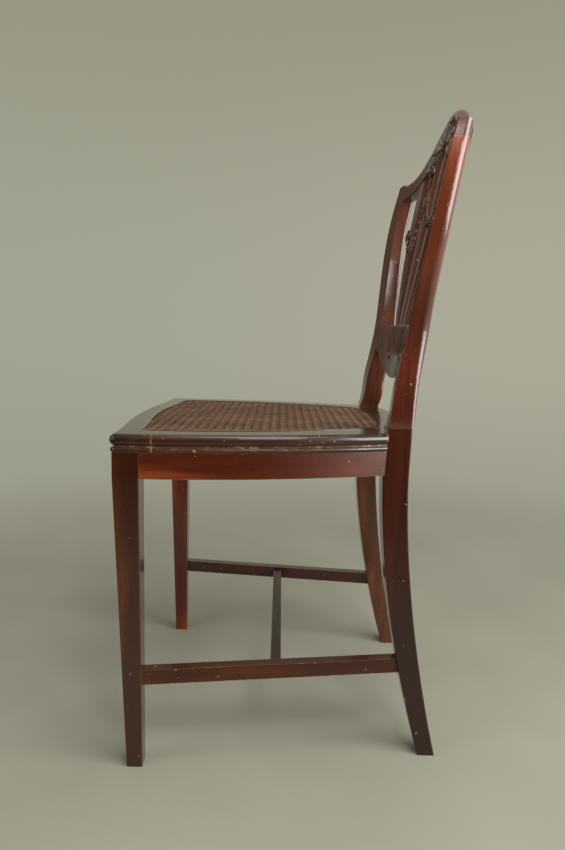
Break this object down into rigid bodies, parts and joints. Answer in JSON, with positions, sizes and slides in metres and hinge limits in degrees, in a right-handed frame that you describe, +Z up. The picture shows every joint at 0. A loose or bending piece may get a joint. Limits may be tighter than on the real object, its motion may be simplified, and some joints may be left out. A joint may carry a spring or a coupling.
{
  "type": "shield back dining chair",
  "caption": "Wooden side chair with an open shield back of curved reeded ribs, a caned seat in a moulded frame, tapered front legs, swept rear legs and an H stretcher.",
  "frame": {"origin": "On the floor, midway between the front and back of the whole chair and on its middle plane.", "axes": "Z up, X to the sitter's left, Y towards the back. The chair faces -Y."},
  "size_m": [0.501, 0.5068, 0.947],
  "materials": {
    "stained_wood": "dark red-brown stain under glossy varnish, worn at the edges",
    "cane": "woven cane, darkened and varnished",
    "spline": "dark stained reed",
    "plain_wood": "bare sawn hardwood, aged",
    "screw_steel": "plain steel, dulled"
  },
  "bodies": {
    "root": {"front_leg_left": "stained_wood", "front_leg_right": "stained_wood", "rear_post_left": "stained_wood", "rear_post_right": "stained_wood", "side_stretcher_left": "stained_wood", "side_stretcher_right": "stained_wood", "medial_stretcher": "stained_wood", "crest_rail": "stained_wood", "shield_base": "stained_wood", "rib_outer_right": "stained_wood", "rib_inner_right": "stained_wood", "rib_centre": "stained_wood", "rib_inner_left": "stained_wood", "rib_outer_left": "stained_wood", "front_rail": "stained_wood", "back_rail": "stained_wood", "side_rail_left": "stained_wood", "side_rail_right": "stained_wood", "seat_frame_front": "stained_wood", "seat_frame_back": "stained_wood", "seat_frame_left": "stained_wood", "seat_frame_right": "stained_wood", "cane_panel": "cane", "cane_spline": "spline", "corner_block_front_left": "plain_wood", "corner_block_front_right": "plain_wood", "corner_block_back_left": "plain_wood", "corner_block_back_right": "plain_wood", "seat_frame_dowels": "plain_wood", "corner_block_screws": "screw_steel", "seat_frame_screws": "screw_steel"}
  },
  "joints": []
}
